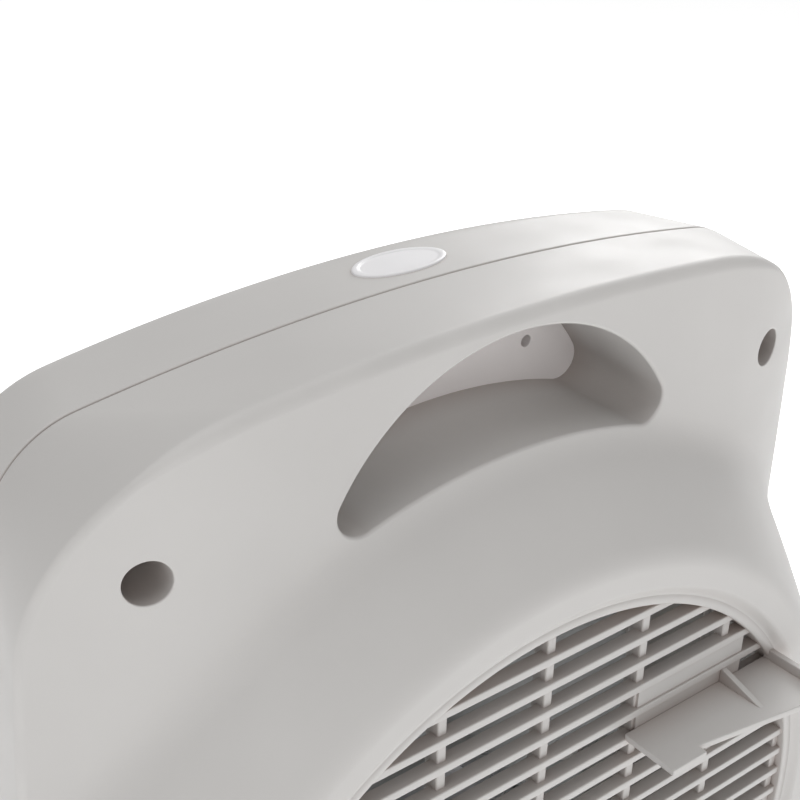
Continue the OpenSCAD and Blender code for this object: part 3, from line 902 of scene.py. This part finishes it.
def make_grille_blanks():
    """Plates that close two gaps above and below the cord brackets."""
    parts = []
    for sign in (-1, 1):
        z0, z1 = sorted(AXIS[1] + sign * row * SLAT_PITCH for row in BLANK_ROWS)
        section = soft_rectangle(SLAT_Y - 4, SLAT_Y - 0.9, z0, z1, 0.2)
        parts.append(along_x(section, *BLANK_X))
    piece = mesh_piece("grille_blanks", *merged(parts))
    ridden(piece, "housing", "shell", ["rear_grille"])


def make_hub_plate():
    """Round plate behind the slats that carries the motor."""
    _, motor_high = node_box("motor_rear_bracket")
    front, back = motor_high.y, SLAT_Y - SLAT_DEPTH
    profile = [
        (0.0, front), (HUB_PLATE_R - 1, front), (HUB_PLATE_R, front + 1), (HUB_PLATE_R, back - 1),
        (HUB_PLATE_R - 1, back), (30, back), (29.4, back - 0.6), (27, back - 0.6), (26.4, back), (0.0, back),
    ]
    piece = mesh_piece("hub_plate", *turned(profile, AXIS, 96), angle=30)
    ridden(piece, "housing", "shell", ["rear_grille"])


# ---------------------------------------------------------------- cord brackets

# Reaches are measured from the rear face, and heights from the shelf.
BRACKET_OFFSET = 71.0
SHELF_T = 2.6
SHELF_X = (-111.0, -37.0)
SHELF_REACH = (41.5, 51.0)
TAB_X = -53.0
TAB_REACH = 45.0
RIB_W = 2.4
RIB_HEIGHT = 6.0
RIB_REACH = 42.0
FIN_HEIGHT = 4.0
FIN_REACH = (46.0, 50.0)


def make_bracket(name, sign):
    """Shelf for winding the cord on: a tab, a deeper end, a rib over a grille bar and an end wall."""
    top = AXIS[1] + sign * BRACKET_OFFSET
    root = SLAT_Y - 1.0
    parts = []
    shelf = [
        (SHELF_X[1], root), (SHELF_X[1], FACE_Y + TAB_REACH), (TAB_X, FACE_Y + TAB_REACH),
        (TAB_X, FACE_Y + SHELF_REACH[0]), (SHELF_X[0], FACE_Y + SHELF_REACH[1]), (SHELF_X[0], root),
    ]
    z0, z1 = sorted((top, top - sign * SHELF_T))
    parts.append(along_z(shelf, z0, z1))
    rib_x = -2 * BAR_PITCH
    foot, rib_top, fin_top = (top + sign * height for height in (-0.2, RIB_HEIGHT, FIN_HEIGHT))
    rib = [(root, foot), (root, rib_top), (FACE_Y + RIB_REACH, foot)]
    parts.append(along_x(rib, rib_x - RIB_W / 2, rib_x + RIB_W / 2))
    fin = [(root, foot), (root, fin_top), (FACE_Y + FIN_REACH[0], fin_top), (FACE_Y + FIN_REACH[1], foot)]
    parts.append(along_x(fin, SHELF_X[0], SHELF_X[0] + RIB_W))
    piece = mesh_piece(name, *merged(parts), bevel=0.45)
    ridden(piece, "housing", "shell", ["cord_brackets"])


# ---------------------------------------------------------------- fan and louvre


def blade_sheet(low, high, start):
    """One blade: u runs from hub to tip, v from the leading to the trailing edge."""
    tip_r = (high.x - low.x) / 2
    middle_y = (low.y + high.y) / 2
    half_y = (high.y - low.y) / 2
    rows, columns = 13, 15
    points = []
    for u in np.linspace(0, 1, rows).tolist():
        for v in np.linspace(-1, 1, columns).tolist():
            reach = HUB_R - 1 + (tip_r - 1.5 - HUB_R) * u * (1 - 0.10 * u * abs(v) ** 3)
            angle = math.radians(start + BLADE_SWEEP * u + v * (BLADE_HALF_ANGLE + 5 * u))
            lift = half_y * (0.86 - 0.22 * u) * v + 2.2 * (1 - v * v) * (0.4 + u)
            points.append((reach * math.cos(angle), middle_y + lift - 1, AXIS[1] + reach * math.sin(angle)))
    faces = [
        (i * columns + j, i * columns + j + 1, (i + 1) * columns + j + 1, (i + 1) * columns + j)
        for i in range(rows - 1) for j in range(columns - 1)
    ]
    return points, faces


def make_fan():
    """Five cupped blades that twist towards their tips, on a domed hub."""
    low, high = node_box("fan_blade")
    parts = [blade_sheet(low, high, 360 / BLADES * k) for k in range(BLADES)]
    blades = mesh_piece("fan_blades", *merged(parts), angle=80)
    thicken = blades.modifiers.new("thickness", "SOLIDIFY")
    thicken.thickness = BLADE_T * MM
    thicken.offset = 0
    smooth = blades.modifiers.new("smooth", "SUBSURF")
    smooth.levels = 1
    smooth.render_levels = 1
    ridden(blades, "fan", "blades", ["fan_blade"])
    profile = [
        (HUB_BORE_R, low.y), (HUB_R - 6, low.y), (HUB_R - 2, low.y + 1.2), (HUB_R, low.y + 5),
        (HUB_R, high.y), (HUB_R - 2.4, high.y), (HUB_R - 2.4, low.y + 5), (HUB_R - 6, low.y + 2.6),
        (9, low.y + 2.6), (9, high.y - 1), (HUB_BORE_R, high.y - 1),
    ]
    hub = mesh_piece("fan_hub", *turned(profile, AXIS, 96, closed=True), angle=35)
    ridden(hub, "fan", "blades", ["fan_blade"])


def tilted(section, centre, degrees):
    """A section of points turned about a centre."""
    c, s = math.cos(math.radians(degrees)), math.sin(math.radians(degrees))
    y0, z0 = centre
    return [(y0 + c * (y - y0) - s * (z - z0), z0 + s * (y - y0) + c * (z - z0)) for y, z in section]


def louvre_vanes(middle_y, reach):
    """Slanted vanes that lean one way above the hub and the other way below."""
    step = (LOUVRE_R - 10) / (VANE_COUNT + 1)
    half_w, half_t = VANE_W / 2, VANE_T / 2
    parts = []
    for sign in (-1, 1):
        for i in range(1, VANE_COUNT + 1):
            z = AXIS[1] + sign * i * step
            half = chord(i * step, reach) - 0.6
            flat = soft_rectangle(middle_y - half_w, middle_y + half_w, z - half_t, z + half_t, 0.9)
            parts.append(along_x(tilted(flat, (middle_y, z), sign * (90 - VANE_TILT)), -half, half))
    return parts


def louvre_cross(low_y, reach):
    """Four bars from the hub to the rim."""
    half = LOUVRE_BAR_W / 2
    beam = soft_rectangle(low_y + 1, low_y + 10, AXIS[1] - half, AXIS[1] + half, 0.9)
    post = soft_rectangle(-half, half, low_y + 1, low_y + 10, 0.9)
    start = LOUVRE_HUB_R - 1
    return [
        along_x(beam, -reach, -start), along_x(beam, start, reach),
        along_z(post, AXIS[1] - reach, AXIS[1] - start), along_z(post, AXIS[1] + start, AXIS[1] + reach),
    ]


def make_louvre():
    """Turning front louvre: rim, hub, vanes and cross bars."""
    low, high = node_box("louvre_disc")
    reach = LOUVRE_R - 1.5
    rim = [
        (LOUVRE_R - 3, low.y + 0.6), (LOUVRE_R - 2.4, low.y), (LOUVRE_R - 0.8, low.y),
        (LOUVRE_R, low.y + 0.8), (LOUVRE_R, high.y), (LOUVRE_R - 3, high.y),
    ]
    hub = [
        (3.1, low.y + 0.5), (LOUVRE_HUB_R - 1, low.y + 0.5), (LOUVRE_HUB_R, low.y + 1.5),
        (LOUVRE_HUB_R, high.y), (3.1, high.y),
    ]
    parts = [turned(rim, AXIS, 192, closed=True), turned(hub, AXIS, 64, closed=True)]
    parts += louvre_vanes((low.y + high.y) / 2, reach) + louvre_cross(low.y, reach)
    piece = mesh_piece("louvre_disc_moulding", *merged(parts), angle=40)
    ridden(piece, "louvre", "shell", ["louvre_disc"])


def make_louvre_cap():
    """Domed cap over the louvre's axle."""
    cap_r = (cap_high.x - cap_low.x) / 2
    dome = [
        (0, cap_low.y), (cap_r * 0.5, cap_low.y + 0.15), (cap_r * 0.8, cap_low.y + 0.6),
        (cap_r * 0.94, cap_low.y + 1.2), (cap_r, cap_low.y + 2), (cap_r, cap_high.y), (0, cap_high.y),
    ]
    cap = mesh_piece("louvre_cap_moulding", *turned(dome, AXIS, 96), angle=50)
    ridden(cap, "louvre", "facia", ["louvre_cap"])


# ---------------------------------------------------------------- controls, feet and small parts


def make_control_plate():
    """Facia plate with holes for the knobs and the button."""
    low, high = node_box("control_plate")
    skin = Skin()
    face = flat_height(low.y)
    edge = rounded_box((0, CONTROL_Z), PLATE_W, PLATE_H, 5)
    holes = [bore((x, CONTROL_Z), KNOB_HOLE_R, 40) for x in (-KNOB_X, KNOB_X)]
    holes.append(bore((0, CONTROL_Z), BUTTON_R + 0.6, 56))
    rows = skin.rim(edge, 0.6, 0.6, face, -1)
    skin.wall(rows[0], [(edge, 0, high.y, 0)])
    for hole in holes:
        hole_rows = skin.rim(hole, 0.3, 0.3, face, -1)
        skin.wall(hole_rows[0], [(hole, 0, high.y + 2, 0)])
        rows += hole_rows
    skin.fill(rows, [], edge.points, [hole.points for hole in holes])
    ridden(skin.build("facia_plate"), "housing", "facia", ["control_plate"])


def make_facia_ticks():
    """Ticks round each knob, left out where they would run off the plate."""
    low, _ = node_box("control_plate")
    ticks = []
    for sx in (-1, 1):
        centre = np.array([sx * KNOB_X, CONTROL_Z])
        for turn in np.radians(range(-60, 241, 30)):
            if abs(math.sin(turn)) * TICK_R[1] > PLATE_H / 2 - 1.2:
                continue
            across = np.array([-math.sin(turn), math.cos(turn)]) * TICK_HALF_W
            out = np.array([math.cos(turn), math.sin(turn)])
            ends = ((TICK_R[0], -1), (TICK_R[1], -1), (TICK_R[1], 1), (TICK_R[0], 1))
            corners = [tuple(centre + out * r + across * side) for r, side in ends]
            ticks.append(along_y(corners, low.y - 0.25, low.y + 0.2))
    piece = mesh_piece("facia_ticks", *merged(ticks))
    ridden(piece, "housing", "shell", ["control_plate"])


def make_knob(name, body, node, x):
    """Fluted knob on a flange, with a pointer ridge."""
    low, high = node_box(node)
    outer = (high.x - low.x) / 2
    grip = outer - 3
    turn = np.linspace(0, 2 * math.pi, FLUTES * 8, endpoint=False)
    section = (
        (outer - 0.4, high.y, 0), (outer, high.y - 0.5, 0), (outer, high.y - 3.2, 0),
        (outer - 0.8, high.y - 4, 0), (grip + 0.4, high.y - 4.1, 0), (grip, high.y - 4.8, 0.4),
        (grip - 0.3, low.y + 2, 0.45), (grip - 0.9, low.y + 0.7, 0.3), (grip - 2.2, low.y, 0),
        (grip - 5, low.y + 0.3, 0), (0.02, low.y + 0.5, 0),
    )
    rows = []
    for radius, y, depth in section:
        r = radius - depth * (1 + np.cos(turn * FLUTES))
        rows.append([(x + a * math.cos(t), y, CONTROL_Z + a * math.sin(t)) for a, t in zip(r, turn)])
    pointer = soft_rectangle(x - 0.8, x + 0.8, low.y, low.y + 1.5, 0.4)
    parts = [stacked(rows), along_z(pointer, CONTROL_Z + 2, CONTROL_Z + grip - 1.6)]
    piece = mesh_piece(name, *merged(parts), angle=50)
    ridden(piece, body, "shell", [node])


def make_button():
    """Round push button with a dished face."""
    low, high = node_box("swing_button")
    r = (high.x - low.x) / 2
    profile = [
        (0, low.y + 1.1), (r * 0.35, low.y + 0.95), (r * 0.65, low.y + 0.5), (r * 0.85, low.y + 0.05),
        (r - 0.7, low.y), (r - 0.2, low.y + 0.2), (r, low.y + 0.7), (r, high.y), (0, high.y),
    ]
    piece = mesh_piece("swing_button_cap", *turned(profile, (0, CONTROL_Z), 72), angle=50)
    ridden(piece, "swing", "shell", ["swing_button"])


def make_foot(name, node):
    """Rounded runner under one side of the body."""
    low, high = node_box(node)
    rows = []
    plan = rounded_box(((low.x + high.x) / 2, (low.y + high.y) / 2), high.x - low.x, high.y - low.y, 9)
    for into, z in ((3.0, low.z), (1.2, low.z + 0.3), (0.3, low.z + 1.2), (0, low.z + 2.6), (0, high.z)):
        rows.append([(px, py, z) for px, py in plan.into(into)])
    piece = mesh_piece(name, *stacked(rows), angle=50)
    ridden(piece, "housing", "shell", [node])


def make_pads():
    """Ribbed rubber pads under the feet."""
    section = ((7.2, 4), (8, 3.2), (8, 0.8), (7.3, 0), (6, 0), (5.6, 0.5), (4.4, 0.5), (4, 0), (0.05, 0))
    parts = []
    for sx in (-1, 1):
        for y in PAD_Y:
            rows = [[(*p, z) for p in circle((sx * PAD_X, y), radius, 40).points] for radius, z in section]
            parts.append(stacked(rows))
    piece = mesh_piece("foot_pads", *merged(parts), angle=50)
    ridden(piece, "housing", "pads", ["rubber_pads"])


def make_cord_inlet():
    """Flanged collar that the mains lead comes through."""
    low, high = node_box("cord_inlet")
    centre = ((low.x + high.x) / 2, (low.z + high.z) / 2)
    y0 = high.y - 5
    profile = [
        (3.4, low.y), (3.4, high.y - 0.8), (3.9, high.y - 0.2), (4.6, high.y), (5.8, high.y - 0.3),
        (6.3, high.y - 1.2), (6.6, y0 + 1.6), (7.4, y0 + 1.2), (8, y0 + 0.6), (8, y0 - 3),
        (5.9, y0 - 3.2), (5.9, low.y),
    ]
    piece = mesh_piece("cord_collar", *turned(profile, centre, 64, closed=True), angle=40)
    ridden(piece, "housing", "switchgear", ["cord_inlet"])


def screw_head(centre, y, radius, height):
    """Pan head with a cross recess, facing +Y."""
    turn = np.linspace(0, 2 * math.pi, 64, endpoint=False)
    shares = (1.0, 0.97, 0.9, 0.75, 0.62, 0.5, 0.38, 0.26, 0.14, 0.02)
    rises = [(1.0, 0.0)] + [(share, height * (1 - 0.55 * share**4)) for share in shares]
    rows = []
    for share, rise in rises:
        px, pz = radius * share * np.cos(turn), radius * share * np.sin(turn)
        in_cross = (np.minimum(np.abs(px), np.abs(pz)) < radius * 0.11) & (share < 0.6)
        ys = y + rise - np.where(in_cross, height * 0.5, 0)
        rows.append([(centre[0] + a, b, centre[1] + c) for a, b, c in zip(px, ys, pz)])
    return stacked(rows)


def make_screws():
    """Cross-head screws at the bottom of the recesses and on the motor plate."""
    floor_y = FACE_Y - RECESS_DEPTH
    parts = [screw_head(c, floor_y, *HOUSING_HEAD) for c in screw_centres()]
    heads = mesh_piece("housing_screw_heads", *merged(parts), angle=30)
    ridden(heads, "housing", "steel", ["housing_screws"])
    plate_y = SLAT_Y - SLAT_DEPTH
    spots = [(sx * MOTOR_SCREW_X, AXIS[1] + sz * 2 * SLAT_PITCH) for sx in (-1, 1) for sz in (-1, 1)]
    parts = [screw_head(c, plate_y, *MOTOR_HEAD) for c in spots]
    motor = mesh_piece("motor_screw_heads", *merged(parts), angle=30)
    ridden(motor, "housing", "steel", ["motor_screws"])
    paint(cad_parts["foot_screws"], "steel")


# ---------------------------------------------------------------- stage

# In metres. The camera's place, aim and lens were worked out from the photo.
CAMERA_AT = (0.2404, 0.2767, 0.5753)
CAMERA_AIM = (-0.52306, -0.71028, -0.47107)
CAMERA_LENS = 60.39
CAMERA_SHIFT = (0.0345, 0.0319)
STUDIO_MIDDLE = (0, 0, 0.25)
FLOOR_HALF = 6.0
FLOOR_GLOW = 0.66
WORLD_STRENGTH = 0.30


def make_floor():
    """Plain pale floor that glows a little, so that it stays even."""
    quarters = ((-1, -1), (1, -1), (1, 1), (-1, 1))
    corners = [(sx * FLOOR_HALF, sy * FLOOR_HALF, 0) for sx, sy in quarters]
    mesh = bpy.data.meshes.new("floor")
    mesh.from_pydata(corners, [], [(0, 1, 2, 3)])
    floor = link_object("floor", mesh)
    finish = Finish("floor")
    finish.shader.inputs["Emission Color"].default_value = (1, 1, 1, 1)
    finish.shader.inputs["Emission Strength"].default_value = FLOOR_GLOW
    colour = finish.ramp(finish.noise(3, 2), (0.88, 0.88, 0.88), (0.9, 0.9, 0.9))
    roughness = finish.between(finish.noise(9, 2), 0.7, 0.8)
    grain = finish.bump(finish.noise(60, 2), 0.05, 0.001)
    floor.data.materials.append(finish.done(colour, roughness, grain))


def make_light(name, location, size, power):
    """Soft square light aimed at the middle of the fan."""
    data = bpy.data.lights.new(name, "AREA")
    data.shape = "SQUARE"
    data.size = size
    data.energy = power
    lamp = bpy.data.objects.new(name, data)
    lamp.location = location
    lamp.rotation_euler = (Vector(STUDIO_MIDDLE) - Vector(location)).to_track_quat("-Z", "Y").to_euler()
    bpy.context.scene.collection.objects.link(lamp)


def make_studio():
    """Even pale surroundings, a soft light at the front right, one overhead and a weak one behind."""
    world = bpy.data.worlds.new("studio")
    world.use_nodes = True
    background = world.node_tree.nodes["Background"]
    background.inputs["Color"].default_value = (1, 1, 1, 1)
    background.inputs["Strength"].default_value = WORLD_STRENGTH
    bpy.context.scene.world = world
    bpy.context.scene.view_settings.view_transform = "Standard"
    make_light("key", (-1.75, -1.1, 1.15), 1.0, 19)
    make_light("overhead", (0.3, -0.2, 2.4), 2.0, 22)
    make_light("rear_fill", (0.7, 2.2, 1.1), 1.6, 11)


def make_camera():
    """Camera behind, above and to the left, as in the photograph."""
    data = bpy.data.cameras.new("camera")
    data.lens = CAMERA_LENS
    data.sensor_width = 36
    data.shift_x, data.shift_y = CAMERA_SHIFT
    camera = bpy.data.objects.new("camera", data)
    camera.location = CAMERA_AT
    camera.rotation_euler = Vector(CAMERA_AIM).to_track_quat("-Z", "Y").to_euler()
    bpy.context.scene.collection.objects.link(camera)
    bpy.context.scene.camera = camera


make_camera()
finish_cad_nodes()
make_rear_shell()
make_front_shell()
make_pocket_panel()
make_badge()
make_grille_ring()
make_grille_slats()
make_grille_blanks()
make_hub_plate()
make_bracket("cord_bracket_upper", 1)
make_bracket("cord_bracket_lower", -1)
make_fan()
make_louvre()
make_louvre_cap()
make_control_plate()
make_facia_ticks()
make_knob("speed_knob_moulding", "speed", "speed_knob", -KNOB_X)
make_knob("timer_knob_moulding", "timer", "timer_knob", KNOB_X)
make_button()
make_foot("foot_left_moulding", "foot_left")
make_foot("foot_right_moulding", "foot_right")
make_pads()
make_cord_inlet()
make_screws()
make_floor()
make_studio()
